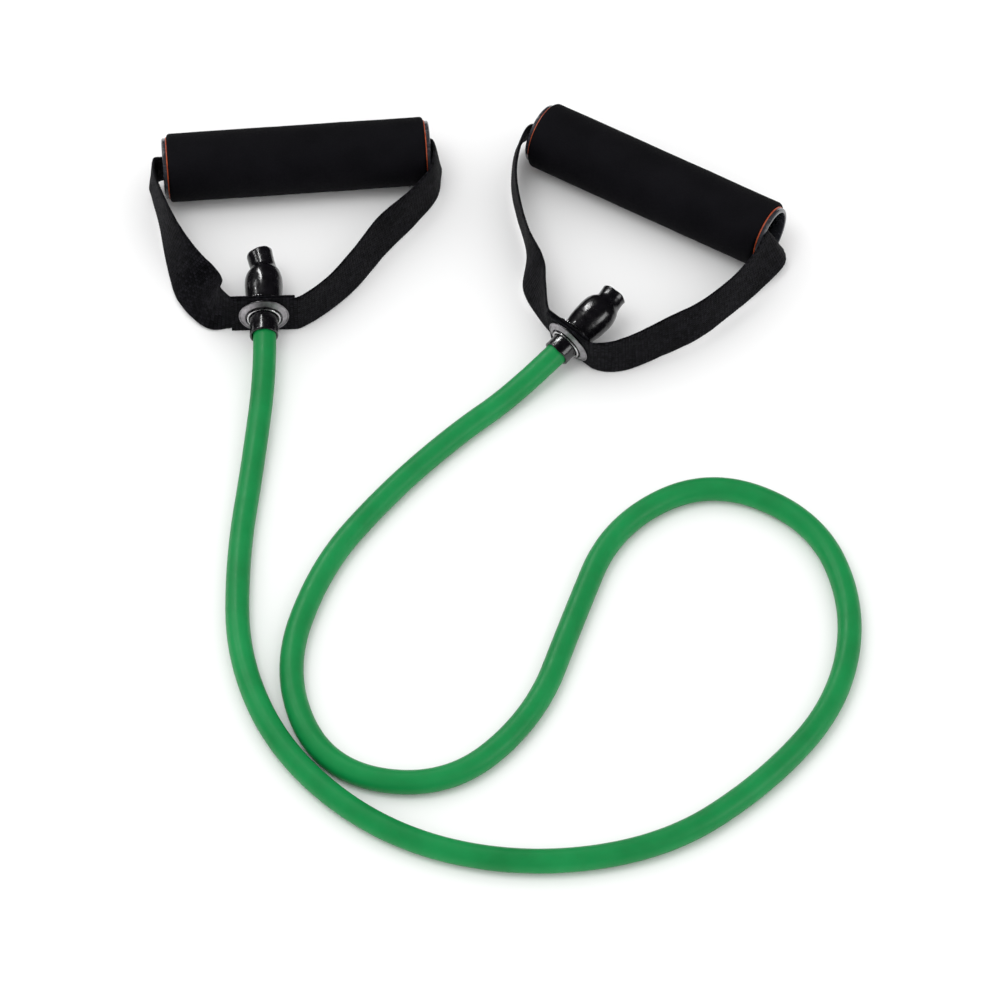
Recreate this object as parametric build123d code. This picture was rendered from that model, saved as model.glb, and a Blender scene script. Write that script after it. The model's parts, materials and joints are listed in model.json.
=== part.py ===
from build123d import *
import math
import os

# Resistance band: one latex tube with a strap handle at each end, lying loose on a flat surface.
# Millimetres, +Z up. The origin is under the middle of the two handles, on the surface.

# ---- driving dimensions ----
TUBE_R = 5.65               # latex tube, outside radius
TUBE_BORE_R = 3.0
SLEEVE_R = 6.8              # rubber end sleeve where it passes through the grommet
TAIL_R = 6.5                # sleeve radius behind the bulb
NECK = 26.5                 # where the bulb has closed down to the tail
TUBE_END_RECESS = 1.0       # the tube stops this far inside the sleeve's cut end

WEBBING_WIDTH = 25.0
WEBBING_THICKNESS = 1.5
LAYER_OFFSET = 0.8          # middle of each webbing layer from the middle of the lapped pair
STRAP_HOLE_R = 8.0
SPAN_STEPS = 4              # loft sections from one webbing station to the next
LEAD = 4.0                  # length of the straight run that a webbing limb starts and ends with

GROMMET_R = 12.3            # both flanges of the grommet
GROMMET_BORE_R = 7.2
BARREL_R = 7.8
STACK = 1.6                 # half of the lapped webbing plus its running gap
FLANGE_THICKNESS = 0.7
LIP_R = 0.75                # rolled lip of the barrel

FOAM_R = 17.1
FOAM_LENGTH = 128.0
FOAM_EDGE = 1.6
CORE_R = 14.5
CORE_BORE_R = 13.0
RING_R = 15.4               # coloured ring between foam and end cap
RING_THICKNESS = 0.6
CAP_R = 15.0
CAP_THICKNESS = 2.0
SPIGOT_R = 13.8             # end cap's spigot, in a counterbore of the core
SPIGOT_LENGTH = 6.0
FIT_GAP = 0.03              # radial gap of parts that are pushed together

GRIP_HALF = FOAM_LENGTH / 2 + RING_THICKNESS + CAP_THICKNESS

# Route of the tube's centre line from grommet to grommet: points chosen by hand.
ROUTE = [
    (-98.7, -47.6, 12.6), (-97.8, -77.8, 11.5), (-101.5, -134, 6), (-107.5, -191, 5.65),
    (-105.5, -251, 5.65), (-81.5, -306, 5.65), (-34, -348, 5.65), (26.5, -364, 5.65),
    (90.5, -354, 5.65), (137.5, -319, 5.65), (173, -274, 5.65), (183, -220, 5.65),
    (166, -168.5, 5.65), (116.5, -143.5, 5.65), (69.5, -172, 5.65), (50.5, -227, 5.65),
    (32.5, -282, 5.65), (-8, -321, 5.65), (-63, -312.5, 5.65), (-85, -258, 5.65),
    (-68.5, -197, 5.65), (-37.5, -153, 5.65), (-4.5, -117, 5.65), (24.5, -91.9, 5.75),
    (51, -64.2, 12.7),
]

# Each handle: the tube's end, the point of the route before it, how far its sleeve reaches down the
# tube from the grommet's middle (mouth) and behind it (tail_end), the tail's bend, the grip's middle
# and turn in the handle's own plan (x across the grommet, y from the grommet towards the grip), and
# the webbing's stations (x, y, z, lean): lean tips the webbing's upper edge towards the inside of
# the loop. The lap gives x of the front layer's cut end and of its first bend, then the same for the
# back layer.
HANDLES = {
    "left": {
        "end": ROUTE[0],
        "before": ROUTE[1],
        "mouth": 14.0,
        "tail_end": 36.0,
        "tail_bend": 12.0,
        "grip": (16.6, 94.3),
        "turn": 3.4,
        "lap": (-16.0, 16.0, 13.0, -16.0),
        "first_limb": [
            (22, 1.6, 12.6, 0), (32.6, 10.6, 12.8, 3), (44.8, 26.2, 13.2, 8),
            (58.2, 47, 13.6, 12), (73.3, 64.4, 14.8, 10), (85.8, 79, 16, 3), (88.2, 90.2, 16.9, 0),
            (86.9, 96.7, 17.1, 0),
        ],
        "second_limb": [
            (-53.9, 87.9, 17.1, 0), (-55.1, 82.6, 16.8, 3), (-50.8, 66.2, 15.2, 8),
            (-44.6, 45.4, 12.7, 19), (-38.3, 30.6, 10.6, 37), (-32, 20.3, 8.5, 58),
            (-27.9, 12.2, 10.2, 48), (-23.2, 3.9, 12.6, 22),
        ],
    },
    "right": {
        "end": ROUTE[-1],
        "before": ROUTE[-2],
        "mouth": 10.5,
        "tail_end": 33.5,
        "tail_bend": 8.0,
        "grip": (-35.0, 98.0),
        "turn": 12.8,
        "lap": (-13.5, 13.0, 12.8, -13.5),
        "first_limb": [
            (19.5, 3.3, 12.6, -5), (25.8, 12.5, 12.7, 1), (33.4, 35.2, 13.8, 5),
            (38.4, 53.8, 14.5, 5), (41, 74.2, 15.2, 7), (42.2, 92.2, 16.2, 4), (40.2, 104.2, 16.9, 1),
            (36.4, 110.8, 17.1, 0),
        ],
        "second_limb": [
            (-103.4, 80, 17.1, 0), (-103.4, 74.6, 16.9, 1), (-92, 56.8, 15.9, 8),
            (-76.8, 42.9, 15.8, 16), (-56.8, 27.6, 15.8, 24), (-41.6, 16.3, 15, 20), (-26.6, 6.2, 13.2, 4),
        ],
    },
}


# ---- frames ----
def handle_plan(handle):
    """The handle's own plan: y points from the grommet into the loop, z stays up."""
    run = Vector(handle["end"]) - Vector(handle["before"])
    turn = math.degrees(math.atan2(-run.X, run.Y))
    return Location((handle["end"][0], handle["end"][1], 0), (0, 0, turn))


def pitch_of(handle):
    """How steeply the tube's end rises into the grommet, in degrees."""
    run = Vector(handle["end"]) - Vector(handle["before"])
    return math.degrees(math.atan2(run.Z, math.hypot(run.X, run.Y)))


def grommet_tilt(handle):
    """The grommet's frame in the handle's plan: y runs along the tube's end, away from the tube."""
    return Location((0, 0, handle["end"][2]), (pitch_of(handle), 0, 0))


def grommet_frame(handle):
    return handle_plan(handle) * grommet_tilt(handle)


def grip_frame(handle):
    """The grip's frame: x runs along its axis."""
    x, y = handle["grip"]
    return handle_plan(handle) * Location((x, y, FOAM_R), (0, 0, handle["turn"]))


# ---- the tube and what is on its ends ----
def corner_radii(points):
    """Each corner's arc takes 0.45 of its shorter run."""
    radii = []
    for before, corner, after in zip(points, points[1:], points[2:]):
        run_in = Vector(corner) - Vector(before)
        run_out = Vector(after) - Vector(corner)
        half_turn = math.radians(run_in.get_angle(run_out)) / 2
        radii.append(0.45 * min(run_in.length, run_out.length) / math.tan(half_turn))
    return radii


def swept_tube():
    """The free length of tube, hollow, from one grommet's middle to the other's."""
    radii = corner_radii(ROUTE)
    print("corner radii", [round(radius) for radius in radii])
    path = FilletPolyline(*ROUTE, radius=radii)
    section = Plane(origin=path @ 0, z_dir=path % 0) * (Circle(TUBE_R) - Circle(TUBE_BORE_R))
    tube = sweep(section, path=path)
    expected = math.pi * (TUBE_R**2 - TUBE_BORE_R**2) * path.length
    print(f"tube length {path.length:.1f}, volume {tube.volume:.0f} against {expected:.0f}")
    return tube


def bulb(start, start_r, waist, shoulder_r, widest_r, neck_r):
    """Solid of revolution about y: a straight start, the bulge over the plug, and the neck."""
    widest = (waist + NECK) / 2 + 2.5
    outline = Spline(
        (start_r, waist), (shoulder_r, waist + 3.5), (widest_r, widest), (neck_r, NECK),
        tangents=[(0, 1), (0, 1)],
    )
    walls = [
        Line((0, start), (start_r, start)),
        Line((start_r, start), (start_r, waist)),
        outline,
        Line((neck_r, NECK), (0, NECK)),
        Line((0, NECK), (0, start)),
    ]
    return revolve(make_face(walls), Axis.Y)


def tail(radius, end, bend):
    """A round tail from the neck, bent a little to one side, with a ball as its elbow."""
    length = end - NECK
    cylinder = Cylinder(radius, length, align=(Align.CENTER, Align.CENTER, Align.MIN))
    elbow = Location((0, NECK, 0), (-90, 0, 0)) * Location((0, 0, 0), (0, -bend, 0))
    return elbow * cylinder + Pos(0, NECK, 0) * Sphere(radius)


def sleeve_outside(handle):
    body = bulb(-handle["mouth"], SLEEVE_R, 3.0, 8.1, 9.3, 6.35)
    return body + tail(TAIL_R, handle["tail_end"], handle["tail_bend"])


def tube_outside(handle, start=0.0):
    end = handle["tail_end"] - TUBE_END_RECESS
    return bulb(start, TUBE_R, 3.2, 6.6, 8.1, 5.4) + tail(TUBE_R, end, handle["tail_bend"])


def plug_shape():
    """The stopper pushed into the tube's bore; it fills the bulge."""
    outline = Spline((0, 5.0), (4.6, 9.5), (5.9, 16.0), (4.4, 22.0), (0, 25.0), tangents=[(1, 0), (-1, 0)])
    return revolve(make_face([outline, Line((0, 25.0), (0, 5.0))]), Axis.Y)


def tube_end_pieces(handle):
    """The widened end of the tube, the plug in it and the sleeve over it."""
    bend, end = handle["tail_bend"], handle["tail_end"]
    bore = Location((0, 0, 0), (-90, 0, 0)) * Cylinder(
        TUBE_BORE_R, NECK, align=(Align.CENTER, Align.CENTER, Align.MIN)
    )
    bore += tail(TUBE_BORE_R, end, bend)
    plug = plug_shape()
    tube_end = tube_outside(handle) - bore - plug
    sleeve = sleeve_outside(handle) - tube_outside(handle, -handle["mouth"])
    sleeve -= tail(TUBE_R, end + 1, bend)
    return tube_end, plug, sleeve


# ---- grommet ----
def eyelet():
    """Barrel with a flange on the inside of the loop and a lip rolled over the washer."""
    outer = STACK + FLANGE_THICKNESS
    barrel = Rectangle(BARREL_R - GROMMET_BORE_R, 2 * outer + LIP_R)
    barrel = Pos((BARREL_R + GROMMET_BORE_R) / 2, -LIP_R / 2) * barrel
    flange = Rectangle(GROMMET_R - GROMMET_BORE_R, FLANGE_THICKNESS)
    flange = Pos((GROMMET_R + GROMMET_BORE_R) / 2, STACK + FLANGE_THICKNESS / 2) * flange
    lip = Pos(GROMMET_BORE_R + LIP_R, -outer - LIP_R) * Circle(LIP_R)
    return revolve(barrel + flange + lip, Axis.Y)


def washer():
    ring = Rectangle(GROMMET_R - BARREL_R - FIT_GAP, FLANGE_THICKNESS)
    middle = (GROMMET_R + BARREL_R + FIT_GAP) / 2
    return revolve(Pos(middle, -STACK - FLANGE_THICKNESS / 2) * ring, Axis.Y)


# ---- grip ----
def turned(outer, inner, start, end):
    """Plain ring about x."""
    section = Pos((start + end) / 2, (outer + inner) / 2) * Rectangle(end - start, outer - inner)
    return revolve(section, Axis.X)


def foam_grip():
    foam = turned(FOAM_R, CORE_R + FIT_GAP, -FOAM_LENGTH / 2, FOAM_LENGTH / 2)
    rims = foam.edges().filter_by(GeomType.CIRCLE).filter_by(lambda edge: edge.radius > CORE_R + 1)
    return fillet(rims, FOAM_EDGE)


def core_tube():
    half = FOAM_LENGTH / 2 + RING_THICKNESS
    core = turned(CORE_R, CORE_BORE_R, -half, half)
    for start in (-half, half - SPIGOT_LENGTH):
        core -= turned(SPIGOT_R + FIT_GAP, CORE_BORE_R - 1, start, start + SPIGOT_LENGTH)
    return core


def end_cap():
    """Cap for the +x end: a rounded flange outside, a thin spigot inside the core."""
    face = FOAM_LENGTH / 2 + RING_THICKNESS
    flange = turned(CAP_R, CORE_BORE_R, face, face + CAP_THICKNESS)
    rim = flange.edges().filter_by(GeomType.CIRCLE).sort_by(SortBy.RADIUS)[-2:].sort_by(Axis.X)[-1]
    flange = fillet(rim, 0.8)
    return flange + turned(SPIGOT_R, CORE_BORE_R, face - SPIGOT_LENGTH, face)


def accent_ring():
    face = FOAM_LENGTH / 2
    return turned(RING_R, CORE_R + FIT_GAP, face, face + RING_THICKNESS)


# ---- webbing ----
def webbing_section(place, heading, lean):
    """The webbing's cross-section, standing on edge where lean is 0."""
    inward = Vector(0, 0, 1).cross(heading).normalized()
    upright = heading.cross(inward)
    angle = math.radians(lean)
    width_direction = upright * math.cos(angle) + inward * math.sin(angle)
    plane = Plane(origin=place, x_dir=width_direction, z_dir=heading)
    return plane * Rectangle(WEBBING_WIDTH, WEBBING_THICKNESS)


def between(knots, span, share):
    """A point of the smooth curve through the stations: centripetal Catmull-Rom, all four values."""
    before, start, end, after = knots[span : span + 4]
    gaps = [math.dist(a[:3], b[:3]) ** 0.5 for a, b in ((before, start), (start, end), (end, after))]
    values = []
    for p0, p1, p2, p3 in zip(before, start, end, after):
        slope_in = (p1 - p0) / gaps[0] - (p2 - p0) / (gaps[0] + gaps[1]) + (p2 - p1) / gaps[1]
        slope_out = (p2 - p1) / gaps[1] - (p3 - p1) / (gaps[1] + gaps[2]) + (p3 - p2) / gaps[2]
        slope_in *= gaps[1]
        slope_out *= gaps[1]
        cubic = 2 * p1 - 2 * p2 + slope_in + slope_out
        square = 3 * p2 - 3 * p1 - 2 * slope_in - slope_out
        values.append(((cubic * share + square) * share + slope_in) * share + p1)
    return values


def limb(stations, first_heading, last_heading):
    """One free length of webbing, lofted through points along the curve through its stations."""
    lead = stations[0]
    follow = stations[-1]
    before = (*(Vector(*lead[:3]) - first_heading * LEAD), lead[3])
    after = (*(Vector(*follow[:3]) + last_heading * LEAD), follow[3])
    knots = [before, *stations, after]
    points = []
    for span in range(len(stations) - 1):
        points += [between(knots, span, step / SPAN_STEPS) for step in range(SPAN_STEPS)]
    points.append(list(follow))
    places = [Vector(*point[:3]) for point in points]
    headings = [(ahead - behind).normalized() for behind, ahead in zip(places, places[2:])]
    headings = [first_heading, *headings, last_heading]
    sections = [
        webbing_section(place, heading, point[3])
        for place, heading, point in zip(places, headings, points)
    ]
    return loft(sections)


def straight(place, heading, length, lean):
    section = webbing_section(place, heading, lean)
    return extrude(section, amount=length, dir=heading)


def lap_station(handle, x, offset):
    """A station on the lapped webbing at the grommet, which lies square to the tube's end."""
    place = (grommet_tilt(handle) * Pos(x, offset, 0)).position
    return (*place, -pitch_of(handle))


def webbing_strap(handle):
    """One webbing: lapped at the grommet, up one side, through the core and down the other."""
    turn = math.radians(handle["turn"])
    along = Vector(-math.cos(turn), -math.sin(turn), 0)
    middle = Vector(*handle["grip"], FOAM_R)
    enter = middle - along * GRIP_HALF
    leave = middle + along * GRIP_HALF
    across = Vector(1, 0, 0)
    front_cut, front_bend, back_cut, back_bend = handle["lap"]
    front = lap_station(handle, front_bend, -LAYER_OFFSET)
    back = lap_station(handle, back_bend, LAYER_OFFSET)
    strap = straight(front[:3], -across, front_bend - front_cut, -front[3])
    strap += limb([front, *handle["first_limb"], (*enter, 0)], across, along)
    strap += straight(enter, along, 2 * GRIP_HALF, 0)
    strap += limb([(*leave, 0), *handle["second_limb"], back], along, across)
    strap += straight(back[:3], across, back_cut - back_bend, back[3])
    return handle_plan(handle) * strap


# ---- assembly ----
def build():
    parts = {"latex_tube": swept_tube()}
    for side, handle in HANDLES.items():
        at_grommet = grommet_frame(handle)
        tube_end, plug, sleeve = tube_end_pieces(handle)
        parts["latex_tube"] += at_grommet * tube_end
        parts[f"{side}_stopper_plug"] = at_grommet * plug
        parts[f"{side}_tube_sleeve"] = at_grommet * sleeve
        parts[f"{side}_grommet_eyelet"] = at_grommet * eyelet()
        parts[f"{side}_grommet_washer"] = at_grommet * washer()
        hole = Location((0, 0, 0), (90, 0, 0)) * Cylinder(STRAP_HOLE_R, 6 * STACK)
        parts[f"{side}_webbing_strap"] = webbing_strap(handle) - at_grommet * hole
        at_grip = grip_frame(handle)
        parts[f"{side}_foam_grip"] = at_grip * foam_grip()
        parts[f"{side}_core_tube"] = at_grip * core_tube()
        for end, facing in (("outer", 180), ("inner", 0)):
            if side == "right":
                facing = 180 - facing
            flip = Location((0, 0, 0), (0, 0, facing))
            parts[f"{side}_{end}_end_cap"] = at_grip * flip * end_cap()
            parts[f"{side}_{end}_accent_ring"] = at_grip * flip * accent_ring()
    return parts


def main():
    os.makedirs("parts", exist_ok=True)
    parts = build()
    box = Compound([part for name, part in parts.items() if name != "latex_tube"]).bounding_box()
    print("handles' middle", round(box.center().X, 2), round(box.center().Y, 2), "lowest", round(box.min.Z, 3))
    for name, part in parts.items():
        export_step(part, f"parts/{name}.step")


main()
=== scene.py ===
import json
import math

import bmesh
import bpy
from mathutils import Matrix, Vector, noise


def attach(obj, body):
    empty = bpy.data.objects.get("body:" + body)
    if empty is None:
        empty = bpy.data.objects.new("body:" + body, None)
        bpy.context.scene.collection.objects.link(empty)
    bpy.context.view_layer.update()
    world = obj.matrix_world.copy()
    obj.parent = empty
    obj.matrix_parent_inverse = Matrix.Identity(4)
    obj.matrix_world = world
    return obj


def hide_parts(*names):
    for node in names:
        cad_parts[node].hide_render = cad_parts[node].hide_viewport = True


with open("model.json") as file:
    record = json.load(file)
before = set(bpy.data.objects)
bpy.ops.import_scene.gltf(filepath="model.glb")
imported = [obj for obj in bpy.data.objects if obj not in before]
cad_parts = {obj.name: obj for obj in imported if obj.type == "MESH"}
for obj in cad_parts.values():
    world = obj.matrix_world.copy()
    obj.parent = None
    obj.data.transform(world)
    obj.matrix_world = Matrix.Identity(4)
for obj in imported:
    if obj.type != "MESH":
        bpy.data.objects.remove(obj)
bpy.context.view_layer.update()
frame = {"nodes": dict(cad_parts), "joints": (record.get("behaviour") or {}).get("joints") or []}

# Resistance band: a green latex tube with a strap handle at each end, lying on a pale floor.
# The row frame is in metres, +Z up. Each handle is modelled in its own frames in millimetres,
# whose matrices bring it to the row frame.
MM = 0.001

# ---- camera ----
CAMERA_TARGET = Vector((0.0165, -0.1525, 0.0))
CAMERA_DISTANCE = 2.4
CAMERA_ELEVATION = 53.0
CAMERA_LENS = 181.0

# ---- the tube ----
TUBE_R = 5.65
TUBE_BORE_R = 3.0

# Route of the tube's centre line, in metres: control points of one smooth line.
ROUTE = [
    (-0.0987, -0.0476, 0.0126), (-0.0966, -0.0778, 0.0115), (-0.1015, -0.134, 0.006),
    (-0.1075, -0.191, 0.00565), (-0.1055, -0.251, 0.00565), (-0.0815, -0.306, 0.00565),
    (-0.034, -0.348, 0.00565), (0.0265, -0.364, 0.00565), (0.0905, -0.354, 0.00565),
    (0.1375, -0.319, 0.00565), (0.173, -0.274, 0.00565), (0.183, -0.22, 0.00565),
    (0.166, -0.1685, 0.00565), (0.1165, -0.1435, 0.00565), (0.0695, -0.172, 0.00565),
    (0.0505, -0.227, 0.00565), (0.0325, -0.2825, 0.00565), (-0.008, -0.3218, 0.00565),
    (-0.063, -0.3128, 0.00565), (-0.085, -0.258, 0.00565), (-0.0685, -0.197, 0.00565),
    (-0.0375, -0.153, 0.00565), (-0.0045, -0.117, 0.00565), (0.0245, -0.0919, 0.00575),
    (0.051, -0.0642, 0.0127),
]

# ---- end sleeve: (along, radius) over the bulb; the mouth and the tail are each handle's own ----
BULB_OUTSIDE = [
    (-2.0, 6.8), (2.6, 6.85), (5.4, 7.9), (9.5, 8.75), (15.0, 9.25), (20.0, 9.1), (23.3, 8.2),
    (26.2, 6.55), (29.0, 6.3),
]
BULB_INSIDE = [(3.4, 5.7), (9.5, 7.3), (16.0, 8.1), (22.5, 7.2), (26.5, 5.65)]
MOUTH_R = 6.95
MOUTH_FLARE = 2.5           # length over which the sleeve widens to its mouth
TAIL_R = 6.5
SLEEVE_BORE_R = 5.7
SLEEVE_NECK = 26.0          # where the tail starts to lean
LEAN_LENGTH = 7.0           # length over which it takes its lean
TUBE_RECESS = 1.2           # the tube stops this far inside the tail's cut end
TUBE_SLACK = 0.1            # the tube's end is this much thinner than the tube

# ---- grommet ----
STACK = 1.6                 # half of the lapped webbing
METAL_GAP = 0.02            # between the webbing and the metal on either side
WASHER_GAP = 0.1            # between the washer and the barrel
LIP_DEPTH = 2.6             # how far the barrel's rolled lip stands out of the webbing
LIP_LENGTH = 1.1
LIP_R = 8.25
FLANGE_R = 12.3
BORE_R = 7.2
BARREL_R = 7.8

# ---- grip ----
FOAM_R = 17.1
FOAM_HALF = 64.0
CORE_R = 14.53
RING_R = 15.4
RING_THICKNESS = 0.6
CAP_R = 15.0
CAP_THICKNESS = 2.0
CAP_BORE_R = 13.0
SPIGOT_R = 13.8
SPIGOT_LENGTH = 6.0
GRIP_HALF = FOAM_HALF + RING_THICKNESS + CAP_THICKNESS

# ---- webbing ----
WEBBING_WIDTH = 25.0
WEBBING_THICKNESS = 1.5
LAYER_OFFSET = 0.8
STRAP_HOLE_R = 8.0
LEAD = 4.0                  # straight run at both ends of a limb
SPAN_STEPS = 8
RIB_PITCH = 1.7
RIB_DEPTH = 0.24
STEPS_PER_RIB = 6
HEADING_REACH = 3           # steps ahead and behind that give the webbing's heading
COLUMNS = 22                # faces across the webbing
CROWDING = 0.35             # how much the columns crowd towards the selvedges
SELVEDGE_INSET = 0.1
SELVEDGE_SWELL = 0.12       # the selvedge's middle stands out past its corners
SELVEDGE_SHARE = 0.45       # share of the thickness that is left at the selvedge
SHOULDER_POWER = 14         # how suddenly the face falls away at the selvedge
LOOSE_RAMP = 20.0           # length over which the webbing becomes free to wave
EDGE_WANDER = 0.22          # how far the selvedges wander, and the length of their waves
EDGE_WAVE = 6.0
FACE_WANDER = 0.45          # how far the free webbing's face waves, and the length of its waves
FACE_WAVE = 22.0
FACE_TWIST = 0.8            # how much the waves differ across the webbing
FACE_SEED = 5

# ---- unevenness: (depth, noise scale per millimetre) ----
SLEEVE_SWELL = (0.012, 0.16)    # these two depths are shares of the radius
SLEEVE_RIPPLE = (0.006, 0.5)
MOUTH_RAGGED = (0.45, 0.22)
MOUTH_ZONE = 2.0                # the mouth is uneven over this length
CUT_RAGGED = (0.3, 0.3)
CUT_ZONE = 3.0                  # the cut end is uneven over this length
CUT_SEED = 9.0
FOAM_DENT = (0.16, 0.05)
FOAM_RIPPLE = (0.07, 0.22)
FOAM_FIRM = 0.6                 # foam this near to the core keeps its shape

OUTLINE_STEPS = 6               # in each span of a smooth outline and each rounded corner

# Each handle, in its own plan: x across the grommet, y from the grommet towards the grip, z up.
# outer_end is the way along its x to the grip's outer end. mouth and tail_end are how far the sleeve
# reaches before and past the grommet, and cut_slope is the tail's skewed cut. strap_length is in metres.
# Stations (x, y, z, lean) lead the webbing's middle line; lean tips its upper edge inwards. The lap
# gives x of the front layer's cut end and of its bend, then the same for the back layer.
HANDLES = {
    "left": {
        "outer_end": -1,
        "mouth": 14.0,
        "tail_end": 36.0,
        "tail_lean": 12.0,
        "cut_slope": 0.10,
        "strap_length": 0.432,
        "grip_lean": 14,
        "lap": (-16.0, 16.0, 15.5, -16.0),
        "first_limb": [
            (21.5, 2.3, 12.6, -1), (32.2, 11.4, 12.8, 2), (44.8, 26.2, 13.2, 8), (58.6, 46.8, 13.6, 9),
            (74.2, 64, 14.8, 6), (84.8, 78.5, 16, 5), (86.6, 89.6, 16.9, 7), (86, 96.4, 17.1, 12),
        ],
        "second_limb": [
            (-54.9, 88.2, 17.1, 9), (-54.6, 81, 16.7, 3), (-50.8, 66.2, 15.2, 6),
            (-44.6, 45.4, 12.7, 19), (-38.3, 30.6, 10.6, 37), (-32, 20.3, 8.5, 58),
            (-27.9, 12.2, 10.2, 48), (-23.2, 3.9, 12.6, 22),
        ],
    },
    "right": {
        "outer_end": 1,
        "mouth": 10.5,
        "tail_end": 32.0,
        "tail_lean": 8.0,
        "cut_slope": -0.04,
        "strap_length": 0.445,
        "grip_lean": 27,
        "lap": (-13.5, 13.0, 12.8, -13.5),
        "first_limb": [
            (19.5, 3.3, 12.6, -5), (25.8, 12.5, 12.7, 1), (33.4, 35.2, 13.8, 5), (38.4, 53.8, 14.5, 5),
            (39.6, 74.2, 15.2, 5), (38.8, 91.8, 16.2, 11), (36.9, 103.4, 16.9, 20), (34.4, 110.2, 17.1, 26),
        ],
        "second_limb": [
            (-103.4, 80, 17.1, 24), (-103.4, 74.6, 16.9, 16), (-92, 56.8, 15.9, 6),
            (-76.8, 42.9, 15.8, -2), (-56.1, 28.6, 15.4, -1), (-40, 15.9, 14, 23), (-26.6, 7.4, 13.3, 8),
        ],
    },
}

JOINTS = {joint["name"]: joint for joint in frame["joints"]}


# ---- frames ----
def turning_frame(joint_name):
    """Millimetre frame at a hinge: y along its axis, x level."""
    joint = JOINTS[joint_name]
    along = Vector(joint["axis"]).normalized()
    level = along.cross(Vector((0, 0, 1))).normalized()
    axes = Matrix((level, along, level.cross(along))).transposed().to_4x4()
    return Matrix.Translation(joint["pos_m"]) @ axes @ Matrix.Scale(MM, 4)


def plan_frame(side):
    """The handle's plan on the floor, under its grommet, in millimetres."""
    grommet = turning_frame(f"{side}_handle_swivel")
    x, y, _ = grommet.translation
    along = grommet.to_3x3() @ Vector((0, 1, 0))
    turn = math.atan2(-along.x, along.y)
    return Matrix.Translation((x, y, 0)) @ Matrix.Rotation(turn, 4, "Z") @ Matrix.Scale(MM, 4)


# ---- curves ----
def between(knots, span, share):
    """A point of the smooth curve through the knots: centripetal Catmull-Rom in every value."""
    before, start, end, after = knots[span : span + 4]
    pairs = ((before, start), (start, end), (end, after))
    gaps = [math.dist(a[:3], b[:3]) ** 0.5 for a, b in pairs]
    values = []
    for p0, p1, p2, p3 in zip(before, start, end, after):
        slope_in = (p1 - p0) / gaps[0] - (p2 - p0) / (gaps[0] + gaps[1]) + (p2 - p1) / gaps[1]
        slope_out = (p2 - p1) / gaps[1] - (p3 - p1) / (gaps[1] + gaps[2]) + (p3 - p2) / gaps[2]
        slope_in *= gaps[1]
        slope_out *= gaps[1]
        cubic = 2 * p1 - 2 * p2 + slope_in + slope_out
        square = 3 * p2 - 3 * p1 - 2 * slope_in - slope_out
        values.append(((cubic * share + square) * share + slope_in) * share + p1)
    return values


def curve_through(knots, steps):
    """Points on the smooth curve from the second knot to the last but one."""
    points = []
    for span in range(len(knots) - 3):
        points += [between(knots, span, step / steps) for step in range(steps)]
    points.append(list(knots[-2]))
    return points


def outline_through(points):
    """The smooth outline through (along, radius) points, ends included."""
    first, second = points[0], points[1]
    last, other = points[-1], points[-2]
    before = (2 * first[0] - second[0], 2 * first[1] - second[1])
    after = (2 * last[0] - other[0], 2 * last[1] - other[1])
    return curve_through([before, *points, after], OUTLINE_STEPS)


def rounded(corners):
    """Closed outline of (along, radius, rounding) corners, each turned in an arc."""
    outline = []
    for index, (along, out, rounding) in enumerate(corners):
        corner = Vector((along, out))
        if rounding == 0:
            outline.append(tuple(corner))
            continue
        back = (Vector(corners[index - 1][:2]) - corner).normalized()
        ahead = (Vector(corners[(index + 1) % len(corners)][:2]) - corner).normalized()
        half = back.angle(ahead) / 2
        centre = corner + (back + ahead).normalized() * (rounding / math.sin(half))
        start = corner + back * (rounding / math.tan(half)) - centre
        finish = corner + ahead * (rounding / math.tan(half)) - centre
        turn = math.atan2(start.x * finish.y - start.y * finish.x, start.dot(finish))
        for step in range(OUTLINE_STEPS + 1):
            angle = turn * step / OUTLINE_STEPS
            cos, sin = math.cos(angle), math.sin(angle)
            x = centre.x + start.x * cos - start.y * sin
            y = centre.y + start.x * sin + start.y * cos
            outline.append((x, y))
    return outline


def divided(outline, longest):
    """The closed outline with every run cut into pieces no longer than this."""
    points = []
    for start, end in zip(outline, outline[1:] + outline[:1]):
        pieces = max(1, math.ceil(math.dist(start, end) / longest))
        for piece in range(pieces):
            share = piece / pieces
            points.append(tuple(a + (b - a) * share for a, b in zip(start, end)))
    return points


def uneven(roughness, point, seed=Vector((0, 0, 0))):
    """Smooth noise at this point, for a (depth, scale) pair."""
    depth, scale = roughness
    return depth * noise.noise(point * scale + seed)


# ---- pieces ----
def finish_piece(name, mesh, material, body, node=None):
    """The mesh becomes a piece that rides on its body and stands for its CAD node."""
    mesh.polygons.foreach_set("use_smooth", [True] * len(mesh.polygons))
    mesh.materials.append(material)
    piece = bpy.data.objects.new(name, mesh)
    bpy.context.scene.collection.objects.link(piece)
    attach(piece, body)
    if node:
        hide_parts(node)
    return piece


def mesh_from(name, bm):
    bmesh.ops.recalc_face_normals(bm, faces=bm.faces)
    mesh = bpy.data.meshes.new(name)
    bm.to_mesh(mesh)
    bm.free()
    return mesh


def lathe(name, outline, place, around=128, warp=None):
    """A ring-shaped solid: the closed outline of (along, radius) turned about y."""
    bm = bmesh.new()
    rings = []
    for turn in range(around):
        angle = math.tau * turn / around
        points = [Vector((out * math.cos(angle), along, out * math.sin(angle))) for along, out in outline]
        if warp:
            points = [warp(point) for point in points]
        rings.append([bm.verts.new(place @ point) for point in points])
    for ring, following in zip(rings, rings[1:] + rings[:1]):
        for index in range(len(outline)):
            ahead = (index + 1) % len(outline)
            bm.faces.new((ring[index], ring[ahead], following[ahead], following[index]))
    return mesh_from(name, bm)


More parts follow.
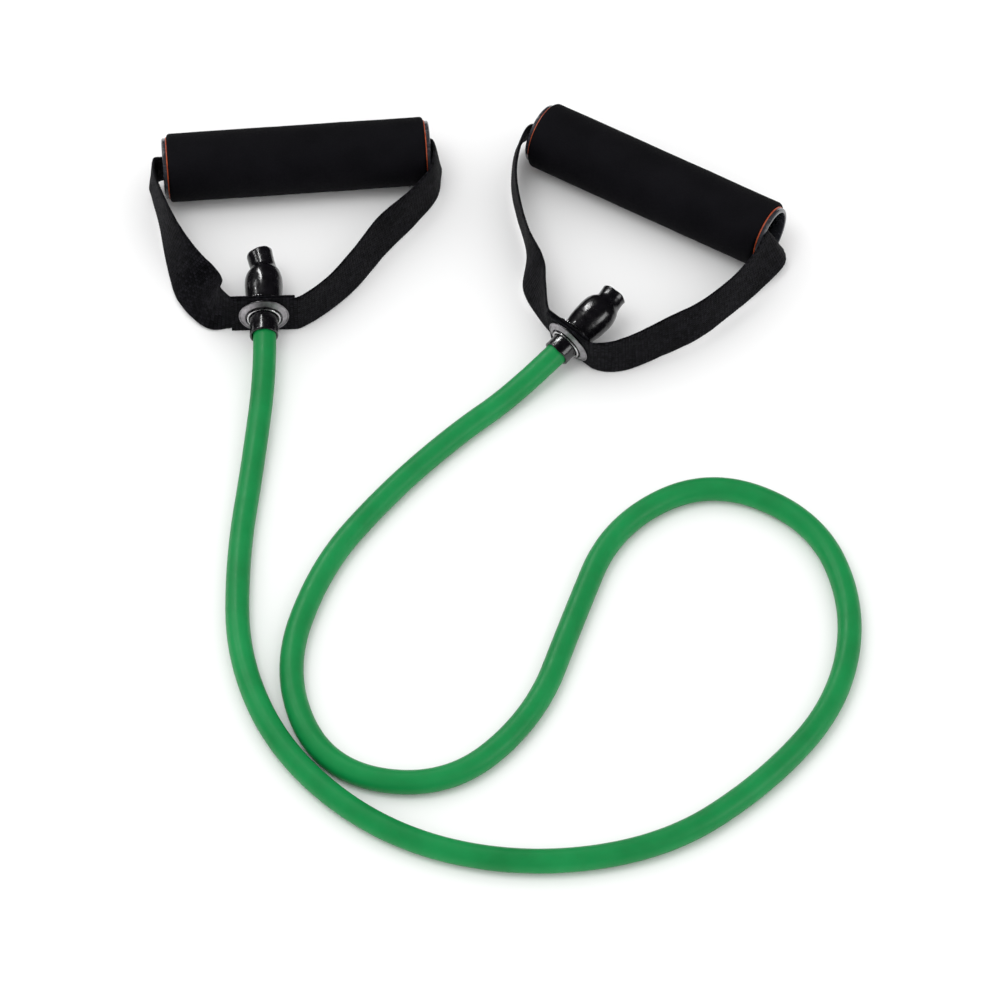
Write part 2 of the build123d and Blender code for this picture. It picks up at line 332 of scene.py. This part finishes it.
# ---- materials ----
class Surface:
    """A Principled material and short ways to add nodes to it."""

    def __init__(self, name, **sockets):
        self.material = bpy.data.materials.new(name)
        self.material.use_nodes = True
        self.tree = self.material.node_tree
        self.shader = self.tree.nodes["Principled BSDF"]
        for socket, value in sockets.items():
            self.shader.inputs[socket.replace("_", " ")].default_value = value

    def node(self, kind, **settings):
        """A node; settings in capitals are its sockets, the others its properties."""
        node = self.tree.nodes.new("ShaderNode" + kind)
        for key, value in settings.items():
            if key[0].isupper():
                socket = node.inputs[key.replace("_", " ")]
                if isinstance(value, bpy.types.NodeSocket):
                    self.tree.links.new(value, socket)
                else:
                    socket.default_value = value
            else:
                setattr(node, key, value)
        return node

    def place(self):
        return self.node("TexCoord").outputs["Object"]

    def noise(self, size, detail=3.0):
        """Noise whose grains are about this size in metres."""
        place = self.place()
        texture = self.node("TexNoise", Vector=place, Scale=1 / size, Detail=detail, Roughness=0.55)
        return texture.outputs["Fac"]

    def ramp(self, value, stops):
        """Colour ramp with (position, colour) stops."""
        node = self.node("ValToRGB", Fac=value)
        ramp = node.color_ramp
        ramp.elements[0].position, ramp.elements[0].color = stops[0][0], (*stops[0][1], 1)
        ramp.elements[1].position, ramp.elements[1].color = stops[-1][0], (*stops[-1][1], 1)
        for position, colour in stops[1:-1]:
            ramp.elements.new(position).color = (*colour, 1)
        return node.outputs["Color"]

    def span(self, value, low, high, from_low=0.3, from_high=0.7):
        """Maps a texture's value to the range low to high."""
        node = self.node("MapRange", Value=value)
        node.inputs["From Min"].default_value = from_low
        node.inputs["From Max"].default_value = from_high
        node.inputs["To Min"].default_value = low
        node.inputs["To Max"].default_value = high
        return node.outputs["Result"]

    def set(self, socket, value):
        self.tree.links.new(value, self.shader.inputs[socket])

    def mottle(self, size, stops, detail=3.0):
        """Base colour that drifts through the stops in patches of about this size."""
        self.set("Base Color", self.ramp(self.noise(size, detail), stops))

    def roughen(self, size, low, high):
        """Roughness that drifts between two values in patches of about this size."""
        self.set("Roughness", self.span(self.noise(size), low, high))

    def bump(self, height, depth, under=None):
        """Adds a bump of this depth in metres, over another bump if one is given."""
        node = self.node("Bump", Height=height, Distance=depth, Strength=1.0)
        if under:
            self.tree.links.new(under, node.inputs["Normal"])
        self.set("Normal", node.outputs["Normal"])
        return node.outputs["Normal"]


def latex():
    surface = Surface("green_latex", Specular_IOR_Level=0.22, IOR=1.5, Subsurface_Weight=0.06)
    surface.shader.inputs["Subsurface Radius"].default_value = (0.5, 1.0, 0.5)
    surface.shader.inputs["Subsurface Scale"].default_value = 1.5 * MM
    greens = [
        (0.30, (0.002, 0.193, 0.043)), (0.52, (0.003, 0.232, 0.055)), (0.75, (0.005, 0.266, 0.067)),
    ]
    surface.mottle(0.03, greens, detail=4)
    surface.roughen(0.004, 0.36, 0.50)
    skin = surface.bump(surface.noise(0.0035, detail=5), 0.08 * MM)
    surface.bump(surface.noise(0.0005, detail=2), 0.015 * MM, under=skin)
    return surface.material


def sleeve_rubber():
    surface = Surface("black_rubber", Specular_IOR_Level=0.55, Coat_Weight=0.25, Coat_Roughness=0.12)
    surface.mottle(0.006, [(0.3, (0.003, 0.0027, 0.0036)), (0.7, (0.007, 0.0062, 0.0085))], detail=4)
    surface.roughen(0.003, 0.16, 0.30)
    swell = surface.bump(surface.noise(0.005, detail=2), 0.16 * MM)
    surface.bump(surface.noise(0.0007), 0.012 * MM, under=swell)
    return surface.material


def bright_nickel():
    surface = Surface("nickel", Metallic=1.0)
    surface.mottle(0.0025, [(0.25, (0.50, 0.49, 0.50)), (0.7, (0.80, 0.79, 0.80))], detail=5)
    surface.roughen(0.0015, 0.14, 0.30)
    surface.bump(surface.noise(0.0009), 0.015 * MM)
    return surface.material


def satin_nickel():
    surface = Surface("satin_nickel", Metallic=1.0)
    surface.mottle(0.0025, [(0.25, (0.20, 0.19, 0.20)), (0.7, (0.42, 0.40, 0.42))], detail=5)
    surface.roughen(0.0008, 0.26, 0.44)
    surface.bump(surface.noise(0.00035, detail=4), 0.05 * MM)
    return surface.material


def webbing():
    surface = Surface("webbing", Specular_IOR_Level=0.035, Sheen_Weight=0.03, Sheen_Roughness=0.4)
    surface.shader.inputs["Sheen Tint"].default_value = (0.75, 0.75, 0.85, 1)
    weave = surface.node("UVMap", uv_map="weave").outputs["UV"]
    # Color1 and Color2 are the yarns' own tones; the near-black Mortar colour is painted shade in the gaps
    # between the yarns.
    yarns_and_painted_gap_shade = surface.node(
        "TexBrick", Vector=weave, Scale=1.0, Mortar_Size=0.26, Mortar_Smooth=0.8, Bias=0.0,
        Brick_Width=1.5, Row_Height=RIB_PITCH, Color1=(0.0026, 0.0026, 0.0032, 1),
        Color2=(0.0125, 0.0122, 0.0150, 1), Mortar=(0.0002, 0.0002, 0.0003, 1), offset=0.5,
    )
    wear = surface.noise(0.012, detail=4)
    tint = surface.node("Mix", data_type="RGBA", blend_type="MULTIPLY")
    tint.inputs["Factor"].default_value = 1.0
    surface.tree.links.new(yarns_and_painted_gap_shade.outputs["Color"], tint.inputs["A"])
    shade = surface.ramp(wear, [(0.3, (0.75, 0.75, 0.78)), (0.7, (1.25, 1.22, 1.25))])
    surface.tree.links.new(shade, tint.inputs["B"])
    surface.set("Base Color", tint.outputs["Result"])
    surface.roughen(0.002, 0.50, 0.72)
    gaps = surface.bump(surface.span(yarns_and_painted_gap_shade.outputs["Fac"], 1.0, 0.0, 0.0, 1.0), 0.22 * MM)
    surface.bump(surface.noise(0.00028), 0.05 * MM, under=gaps)
    return surface.material


def foam():
    surface = Surface("foam", Specular_IOR_Level=0.08)
    surface.mottle(0.02, [(0.3, (0.0034, 0.0032, 0.0046)), (0.7, (0.0054, 0.0051, 0.0070))], detail=5)
    surface.roughen(0.001, 0.78, 0.95)
    cells = surface.node("TexVoronoi", Vector=surface.place(), Scale=1 / 0.0009)
    pores = surface.bump(cells.outputs["Distance"], 0.07 * MM)
    surface.bump(surface.noise(0.006, detail=4), 0.10 * MM, under=pores)
    return surface.material


def cap_plastic():
    surface = Surface("cap_plastic", Specular_IOR_Level=0.6, Coat_Weight=0.3, Coat_Roughness=0.08)
    surface.mottle(0.004, [(0.3, (0.020, 0.021, 0.026)), (0.7, (0.045, 0.047, 0.056))], detail=4)
    surface.roughen(0.002, 0.16, 0.32)
    surface.bump(surface.noise(0.0012), 0.02 * MM)
    return surface.material


def orange_plastic():
    surface = Surface("orange_plastic", Specular_IOR_Level=0.5)
    surface.mottle(0.003, [(0.3, (0.36, 0.040, 0.012)), (0.7, (0.58, 0.105, 0.028))])
    surface.roughen(0.0015, 0.30, 0.45)
    surface.bump(surface.noise(0.0008), 0.015 * MM)
    return surface.material


def matte_black(name, size, low, high):
    """Moulded black plastic that is seen only inside the bores."""
    surface = Surface(name, Specular_IOR_Level=0.3)
    surface.mottle(size, [(0.3, low), (0.7, high)])
    surface.roughen(size / 3, 0.5, 0.7)
    surface.bump(surface.noise(size / 4), 0.03 * MM)
    return surface.material


# ---- tube and sleeves ----
def latex_tube(material):
    curve = bpy.data.curves.new("green_latex_tube", "CURVE")
    curve.dimensions = "3D"
    spline = curve.splines.new("NURBS")
    spline.points.add(len(ROUTE) - 1)
    for point, place in zip(spline.points, ROUTE):
        point.co = (*place, 1)
    spline.order_u = 3
    spline.use_endpoint_u = True
    spline.resolution_u = 20
    curve.bevel_depth = TUBE_R * MM
    curve.bevel_resolution = 14
    curve.use_fill_caps = True
    curve.materials.append(material)
    piece = bpy.data.objects.new("green_latex_tube", curve)
    bpy.context.scene.collection.objects.link(piece)
    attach(piece, "tube")
    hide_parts("latex_tube")


def tail_warp(side):
    """Leans the sleeve's tail, cuts its end a little askew and makes the rubber uneven."""
    handle = HANDLES[side]
    seed = Vector((7.0, 3.0, 1.0)) * (1 + handle["outer_end"])

    def warp(point):
        swell = 1 + uneven(SLEEVE_SWELL, point, seed) + uneven(SLEEVE_RIPPLE, point, seed)
        point = Vector((point.x * swell, point.y, point.z * swell))
        near_mouth = max(0.0, (MOUTH_ZONE - handle["mouth"] - point.y) / MOUTH_ZONE)
        point.y -= near_mouth * uneven(MOUTH_RAGGED, Vector((point.x, 0, point.z)), seed)
        near_cut = max(0.0, (point.y - handle["tail_end"] + CUT_ZONE) / CUT_ZONE)
        ragged = uneven(CUT_RAGGED, Vector((point.x, CUT_SEED, point.z)), seed)
        point.y += near_cut * (handle["cut_slope"] * point.x + ragged)
        past = point.y - SLEEVE_NECK
        if past <= -LEAN_LENGTH / 2:
            return point
        share = min(1.0, (past + LEAN_LENGTH / 2) / LEAN_LENGTH)
        lean = Matrix.Rotation(math.radians(handle["tail_lean"]) * share, 3, "Z")
        middle = Vector((0, SLEEVE_NECK, 0))
        return lean @ (point - middle) + middle

    return warp


def tube_sleeve(side, material):
    mouth, end = HANDLES[side]["mouth"], HANDLES[side]["tail_end"]
    outside = outline_through([
        (-mouth, MOUTH_R), (MOUTH_FLARE - mouth, MOUTH_R - 0.1), *BULB_OUTSIDE, (end, TAIL_R),
    ])
    inside = outline_through([(-mouth, SLEEVE_BORE_R), *BULB_INSIDE, (end, SLEEVE_BORE_R)])
    lip = [(outside[0][0] - 0.35, outside[0][1] - 0.35), (inside[0][0] - 0.3, inside[0][1] + 0.3)]
    cut = [(inside[-1][0] + 0.15, inside[-1][1] + 0.15), (outside[-1][0] + 0.15, outside[-1][1] - 0.2)]
    outline = outside + cut[::-1] + inside[::-1] + lip[::-1]
    place = turning_frame(f"{side}_handle_swivel")
    mesh = lathe(f"{side}_rubber_sleeve", outline, place, around=96, warp=tail_warp(side))
    return finish_piece(mesh.name, mesh, material, "tube", f"{side}_tube_sleeve")


def tube_end(side, material):
    """The tube's own cut end, a little way inside the sleeve's tail."""
    start = SLEEVE_NECK - 1
    end = HANDLES[side]["tail_end"] - TUBE_RECESS
    outline = rounded([
        (start, TUBE_BORE_R, 0), (start, TUBE_R - TUBE_SLACK, 0), (end, TUBE_R - TUBE_SLACK, 0.25),
        (end, TUBE_BORE_R, 0.25),
    ])
    place = turning_frame(f"{side}_handle_swivel")
    mesh = lathe(f"{side}_tube_end", outline, place, around=64, warp=tail_warp(side))
    return finish_piece(mesh.name, mesh, material, "tube")


# ---- grommets ----
def flange_rim(face, out):
    """Corners of a flange: flat underside, a round bead as its rim, and a domed top."""
    return [
        (face, FLANGE_R - 0.25, 0.2), (face + out * 0.40, FLANGE_R, 0.2),
        (face + out * 0.80, FLANGE_R - 0.2, 0.2), (face + out * 0.72, FLANGE_R - 0.6, 0.12),
        (face + out * 0.48, FLANGE_R - 0.75, 0.08), (face + out * 1.90, 9.4, 0.35),
    ]


def grommet_washer(side, material):
    face = -STACK - METAL_GAP
    hole = BARREL_R + WASHER_GAP
    outline = rounded([
        (face, hole, 0), *flange_rim(face, -1), (face - 1.75, 9.0, 0.2), (face - 0.30, 8.75, 0.1),
        (face - 0.30, hole, 0),
    ])
    mesh = lathe(f"{side}_nickel_washer", outline, turning_frame(f"{side}_handle_swivel"))
    return finish_piece(mesh.name, mesh, material, f"{side}_grommet", f"{side}_grommet_washer")


def grommet_eyelet(side, material):
    face = STACK + METAL_GAP
    tip = -STACK - LIP_DEPTH
    outline = rounded([
        (face, BARREL_R, 0), *flange_rim(face, 1), (face + 1.70, 8.0, 0.3),
        (face + 0.85, BORE_R, 0.5), (tip, BORE_R, 0.5), (tip, LIP_R, 0.5),
        (tip + LIP_LENGTH, LIP_R, 0.45), (tip + LIP_LENGTH, BARREL_R, 0),
    ])
    mesh = lathe(f"{side}_nickel_eyelet", outline, turning_frame(f"{side}_handle_swivel"))
    return finish_piece(mesh.name, mesh, material, f"{side}_grommet", f"{side}_grommet_eyelet")


# ---- grips ----
def foam_warp(point):
    """Foam is never quite round or straight."""
    out = Vector((point.x, 0, point.z))
    if out.length < CORE_R + FOAM_FIRM:
        return point
    dent = uneven(FOAM_DENT, point) + uneven(FOAM_RIPPLE, point)
    return point + out.normalized() * dent


def foam_grip(side, material):
    outline = divided(rounded([
        (-FOAM_HALF, CORE_R, 0), (-FOAM_HALF, FOAM_R, 1.7), (FOAM_HALF, FOAM_R, 1.7),
        (FOAM_HALF, CORE_R, 0),
    ]), 2.0)
    place = turning_frame(f"{side}_grip_spin")
    mesh = lathe(f"{side}_foam_sleeve", outline, place, around=144, warp=foam_warp)
    piece = finish_piece(mesh.name, mesh, material, f"{side}_grip", f"{side}_foam_grip")


def grip_end(side, end, facing, cap_material, ring_material):
    """End cap and coloured ring at one end of a grip; facing is -1 or 1 along its axis."""
    place = turning_frame(f"{side}_grip_spin") @ Matrix.Scale(facing, 4, (0, 1, 0))
    seat = FOAM_HALF + RING_THICKNESS
    cap = rounded([
        (seat, SPIGOT_R, 0), (seat, CAP_R, 0.2), (GRIP_HALF - 0.5, CAP_R, 0.6),
        (GRIP_HALF, CAP_R - 0.8, 0.35), (GRIP_HALF, CAP_BORE_R, 0.45),
        (seat - SPIGOT_LENGTH, CAP_BORE_R, 0), (seat - SPIGOT_LENGTH, SPIGOT_R, 0),
    ])
    mesh = lathe(f"{side}_{end}_cap", cap, place)
    finish_piece(mesh.name, mesh, cap_material, f"{side}_grip", f"{side}_{end}_end_cap")
    ring = rounded([
        (FOAM_HALF, CORE_R, 0), (FOAM_HALF, RING_R, 0.25), (seat, RING_R, 0.35), (seat, CORE_R, 0),
    ])
    mesh = lathe(f"{side}_{end}_ring", ring, place)
    node = f"{side}_{end}_accent_ring"
    finish_piece(mesh.name, mesh, ring_material, f"{side}_grip", node)


# ---- webbing straps ----
def limb_points(stations, first_heading, last_heading):
    lead = stations[0]
    follow = stations[-1]
    before = (*(Vector(lead[:3]) - first_heading * LEAD), lead[3])
    after = (*(Vector(follow[:3]) + last_heading * LEAD), follow[3])
    return curve_through([before, *stations, after], SPAN_STEPS)


def strap_line(side):
    """(x, y, z, lean) points along one strap's middle line, from cut end to cut end."""
    handle = HANDLES[side]
    plan = plan_frame(side)
    to_plan = plan.inverted()
    grommet = to_plan @ turning_frame(f"{side}_handle_swivel")
    rise = grommet.to_3x3() @ Vector((0, 1, 0))
    lean = -math.degrees(math.atan2(rise.z, math.hypot(rise.x, rise.y)))
    grip = to_plan @ turning_frame(f"{side}_grip_spin")
    along = -(grip.to_3x3() @ Vector((0, 1, 0))).normalized()
    enter = grip.translation - along * GRIP_HALF
    leave = grip.translation + along * GRIP_HALF
    across = Vector((1, 0, 0))
    front_cut, front_bend, back_cut, back_bend = handle["lap"]

    def lap(x, offset):
        return (*(grommet @ Vector((x, offset, 0))), lean)

    first = [lap(front_bend, -LAYER_OFFSET), *handle["first_limb"], (*enter, handle["grip_lean"])]
    second = [(*leave, handle["grip_lean"]), *handle["second_limb"], lap(back_bend, LAYER_OFFSET)]
    return [
        lap(front_cut, -LAYER_OFFSET), *limb_points(first, across, along),
        *limb_points(second, along, across), lap(back_cut, LAYER_OFFSET),
    ]


def evenly(points, step):
    """The line's points taken again at even steps, with each one's distance from the start."""
    lengths = [0.0]
    for start, end in zip(points, points[1:]):
        lengths.append(lengths[-1] + math.dist(start[:3], end[:3]))
    count = round(lengths[-1] / step)
    even, index = [], 0
    for number in range(count + 1):
        wanted = lengths[-1] * number / count
        while index < len(points) - 2 and lengths[index + 1] < wanted:
            index += 1
        share = (wanted - lengths[index]) / max(1e-9, lengths[index + 1] - lengths[index])
        values = [a + (b - a) * share for a, b in zip(points[index], points[index + 1])]
        even.append((wanted, values))
    return even


def webbing_loop():
    """(across, up) points round the webbing's section: across in -1 to 1, up -1, 0 or 1."""
    evenly_spaced = [2 * column / COLUMNS - 1 for column in range(COLUMNS + 1)]
    crowded = [math.sin(math.pi / 2 * share) for share in evenly_spaced]
    shares = [CROWDING * a + (1 - CROWDING) * b for a, b in zip(crowded, evenly_spaced)]
    top = [(share, 1) for share in shares]
    return [(-1, 0), *top, (1, 0), *[(share, -1) for share, _ in top[::-1]]]


def webbing_axes(places, index, lean):
    """Directions across the webbing and out of its face, at one place on its line."""
    ahead = places[min(index + HEADING_REACH, len(places) - 1)]
    behind = places[max(index - HEADING_REACH, 0)]
    heading = (ahead - behind).normalized()
    inward = Vector((0, 0, 1)).cross(heading).normalized()
    upright = heading.cross(inward)
    wide = upright * math.cos(lean) + inward * math.sin(lean)
    return wide, wide.cross(heading)


def section_offset(across, up, along, free, seed):
    """How far a point of the webbing's section is across and out from the middle line."""
    edge = 1 if across > 0 else -1
    wander = EDGE_WANDER * noise.noise(Vector((along / EDGE_WAVE, edge, 0)) + seed)
    half_width = WEBBING_WIDTH / 2 - SELVEDGE_INSET + wander + SELVEDGE_SWELL * (up == 0)
    ripple = Vector((along / FACE_WAVE, across * FACE_TWIST, FACE_SEED))
    wave = free * FACE_WANDER * noise.noise(ripple + seed)
    phase = along / RIB_PITCH + (0.5 if up < 0 else 0)
    rib = RIB_DEPTH * abs(math.sin(math.pi * phase))
    shoulder = math.sqrt(max(0.0, 1 - abs(across) ** SHOULDER_POWER))
    fullness = SELVEDGE_SHARE + (1 - SELVEDGE_SHARE) * shoulder
    return across * half_width, wave + up * (WEBBING_THICKNESS / 2 - RIB_DEPTH + rib) * fullness


def skin(bm, rows, loop, line, weave):
    """Faces from row to row and over both cut ends; the weave's coordinates are in millimetres."""
    for index, (row, following) in enumerate(zip(rows, rows[1:])):
        here, next_along = line[index][0], line[index + 1][0]
        for corner in range(len(loop)):
            other = (corner + 1) % len(loop)
            face = bm.faces.new((row[corner], row[other], following[other], following[corner]))
            alongs = (here, here, next_along, next_along)
            for loop_corner, at, along in zip(face.loops, (corner, other, other, corner), alongs):
                loop_corner[weave].uv = (loop[at][0] * WEBBING_WIDTH / 2, along)
    bm.faces.new(rows[0][::-1])
    bm.faces.new(rows[-1])


def webbing_strap(side, material):
    handle = HANDLES[side]
    plan = plan_frame(side)
    line = evenly(strap_line(side), RIB_PITCH / STEPS_PER_RIB)
    total = line[-1][0]
    places = [Vector(values[:3]) for _, values in line]
    loop = webbing_loop()
    seed = Vector((0, 0, 11.0 * handle["outer_end"]))
    bm = bmesh.new()
    weave = bm.loops.layers.uv.new("weave")
    rows = []
    for index, (along, values) in enumerate(line):
        wide, thick = webbing_axes(places, index, math.radians(values[3]))
        free = loose_share(along, total, handle)
        row = []
        for across, up in loop:
            sideways, out = section_offset(across, up, along, free, seed)
            row.append(bm.verts.new(plan @ (places[index] + wide * sideways + thick * out)))
        rows.append(row)
    skin(bm, rows, loop, line, weave)
    punch_hole(bm, turning_frame(f"{side}_handle_swivel"))
    mesh = mesh_from(f"{side}_strap", bm)
    piece = finish_piece(mesh.name, mesh, material, f"{side}_strap", f"{side}_webbing_strap")


def loose_share(along, total, handle):
    """How free the webbing is to wave: not at all in the lap, more and more past it."""
    front_cut, front_bend, back_cut, back_bend = handle["lap"]
    from_lap = min(along - (front_bend - front_cut), total - along - (back_cut - back_bend))
    return max(0.0, min(1.0, from_lap / LOOSE_RAMP))


def punch_hole(bm, grommet):
    """Opens both layers for the grommet's barrel and walls the holes."""
    to_grommet = grommet.inverted()
    inside = []
    for face in bm.faces:
        middle = to_grommet @ face.calc_center_median()
        if math.hypot(middle.x, middle.z) < STRAP_HOLE_R and abs(middle.y) < 2 * STACK:
            inside.append(face)
    bmesh.ops.delete(bm, geom=inside, context="FACES")
    rims = [edge for edge in bm.edges if edge.is_boundary]
    front = [edge for edge in rims if (to_grommet @ edge.verts[0].co).y < 0]
    back = [edge for edge in rims if edge not in front]
    for layer in (front, back):
        bmesh.ops.bridge_loops(bm, edges=layer)


# ---- stage ----
def area_light(name, place, target, size, power, only_gloss=False):
    """A soft box: either it lights the scene unseen, or it is seen only as a highlight."""
    light = bpy.data.lights.new(name, "AREA")
    light.shape = "RECTANGLE"
    light.size, light.size_y = size
    light.energy = power
    lamp = bpy.data.objects.new(name, light)
    bpy.context.scene.collection.objects.link(lamp)
    lamp.location = place
    lamp.rotation_euler = (Vector(target) - Vector(place)).to_track_quat("-Z", "Y").to_euler()
    lamp.visible_glossy = only_gloss
    lamp.visible_diffuse = not only_gloss


def floor():
    mesh = bpy.data.meshes.new("floor")
    half = 6.0
    corners = [(-half, -half, 0), (half, -half, 0), (half, half, 0), (-half, half, 0)]
    mesh.from_pydata(corners, [], [(0, 1, 2, 3)])
    surface = Surface("floor", Roughness=0.9, Specular_IOR_Level=0.1)
    surface.mottle(0.5, [(0.3, (0.93, 0.93, 0.93)), (0.7, (0.95, 0.95, 0.95))])
    mesh.materials.append(surface.material)
    piece = bpy.data.objects.new("floor", mesh)
    bpy.context.scene.collection.objects.link(piece)


def camera():
    elevation = math.radians(CAMERA_ELEVATION)
    back = Vector((0, -math.cos(elevation), math.sin(elevation)))
    data = bpy.data.cameras.new("camera")
    data.lens = CAMERA_LENS
    data.clip_end = 50
    holder = bpy.data.objects.new("camera", data)
    bpy.context.scene.collection.objects.link(holder)
    holder.location = CAMERA_TARGET + back * CAMERA_DISTANCE
    holder.rotation_euler = (-back).to_track_quat("-Z", "Y").to_euler()
    bpy.context.scene.camera = holder


def lights():
    world = bpy.data.worlds.new("studio")
    world.use_nodes = True
    world.node_tree.nodes["Background"].inputs["Color"].default_value = (1, 1, 1, 1)
    world.node_tree.nodes["Background"].inputs["Strength"].default_value = 1.05
    world.cycles_visibility.glossy = False
    bpy.context.scene.world = world
    middle = (0.0, -0.12, 0.0)
    area_light("key", (-0.55, -0.35, 1.9), middle, (0.9, 0.9), 8)
    area_light("streak", (-0.64, 1.03, 1.22), (-0.1, -0.03, 0.0), (0.06, 0.9), 9, only_gloss=True)
    area_light("spot", (-1.30, 0.50, 1.10), (0.06, -0.04, 0.0), (0.12, 0.12), 4, only_gloss=True)
    area_light("window", (1.28, -0.68, 0.61), (0.06, -0.04, 0.0), (0.6, 0.6), 5, only_gloss=True)
    bpy.context.scene.view_settings.view_transform = "Standard"


def main():
    camera()
    lights()
    floor()
    green = latex()
    rubber = sleeve_rubber()
    bright = bright_nickel()
    satin = satin_nickel()
    strap_cloth = webbing()
    sponge = foam()
    cap = cap_plastic()
    orange = orange_plastic()
    plug = matte_black("plug_plastic", 0.002, (0.010, 0.010, 0.011), (0.022, 0.022, 0.024))
    core = matte_black("core_plastic", 0.003, (0.008, 0.008, 0.009), (0.018, 0.018, 0.020))
    on_tube = []
    for side, handle in HANDLES.items():
        on_tube += [tube_sleeve(side, rubber), tube_end(side, green)]
        on_tube.append(frame["nodes"][f"{side}_stopper_plug"])
        grommet_washer(side, satin)
        grommet_eyelet(side, bright)
        foam_grip(side, sponge)
        grip_end(side, "outer", handle["outer_end"], cap, orange)
        grip_end(side, "inner", -handle["outer_end"], cap, orange)
        webbing_strap(side, strap_cloth)
        for node, material in (("stopper_plug", plug), ("core_tube", core)):
            materials = frame["nodes"][f"{side}_{node}"].data.materials
            materials.clear()
            materials.append(material)
    latex_tube(green)


main()
